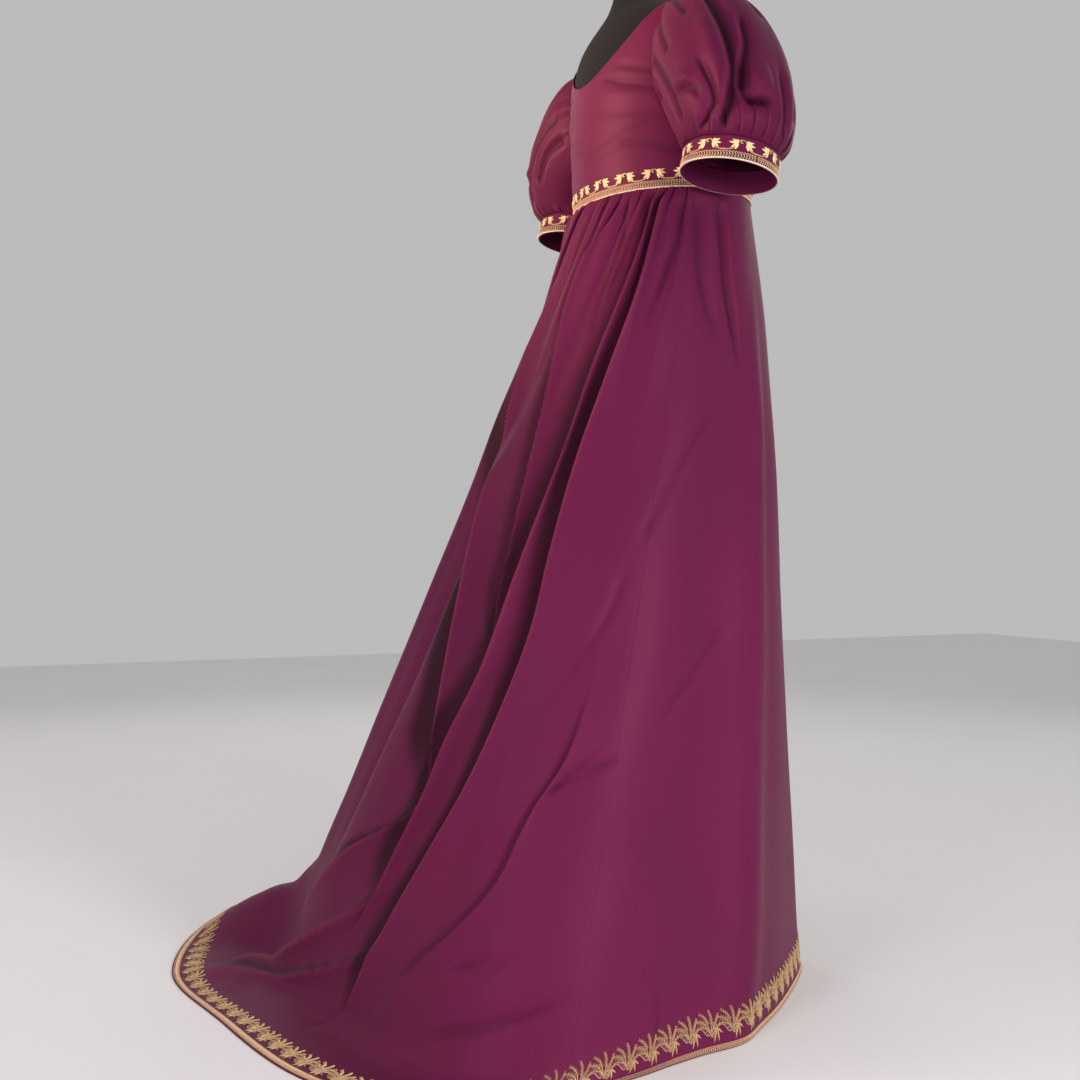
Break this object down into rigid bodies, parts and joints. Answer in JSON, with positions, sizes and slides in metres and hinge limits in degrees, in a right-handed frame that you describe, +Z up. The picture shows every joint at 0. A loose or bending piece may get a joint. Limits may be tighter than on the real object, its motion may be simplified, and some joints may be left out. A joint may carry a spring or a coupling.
{
  "type": "satin gown on dress form",
  "caption": "Full-length empire-waist satin gown with puff sleeves, gold embroidered trim and a swept train, standing on a limbless dress form.",
  "frame": {"origin": "on the floor, at the middle of the stand's base, under the pole", "axes": "+Z up, -Y the way the gown faces, +X the wearer's left, +Y the way the train runs"},
  "size_m": [1.0334, 0.9594, 1.558],
  "materials": {
    "satin": "plum-burgundy satin, soft sheen",
    "gold_embroidery": "gold thread embroidery and braid",
    "form_cover": "charcoal jersey, matt",
    "form_metal": "dark painted steel"
  },
  "bodies": {
    "root": {"bodice_front": "satin", "bodice_back": "satin", "sleeve_right": "satin", "sleeve_left": "satin", "cuff_right": "satin", "cuff_left": "satin", "skirt_front": "satin", "skirt_side_right": "satin", "skirt_side_left": "satin", "skirt_back_right": "satin", "skirt_back_left": "satin", "waist_trim_front": "gold_embroidery", "waist_trim_back": "gold_embroidery", "cuff_trim_right": "gold_embroidery", "cuff_trim_left": "gold_embroidery", "hem_trim_front": "gold_embroidery", "hem_trim_side_right": "gold_embroidery", "hem_trim_side_left": "gold_embroidery", "hem_trim_back_right": "gold_embroidery", "hem_trim_back_left": "gold_embroidery", "form_torso": "form_cover", "form_neck": "form_cover", "form_pole": "form_metal", "form_base": "form_metal"}
  },
  "joints": []
}
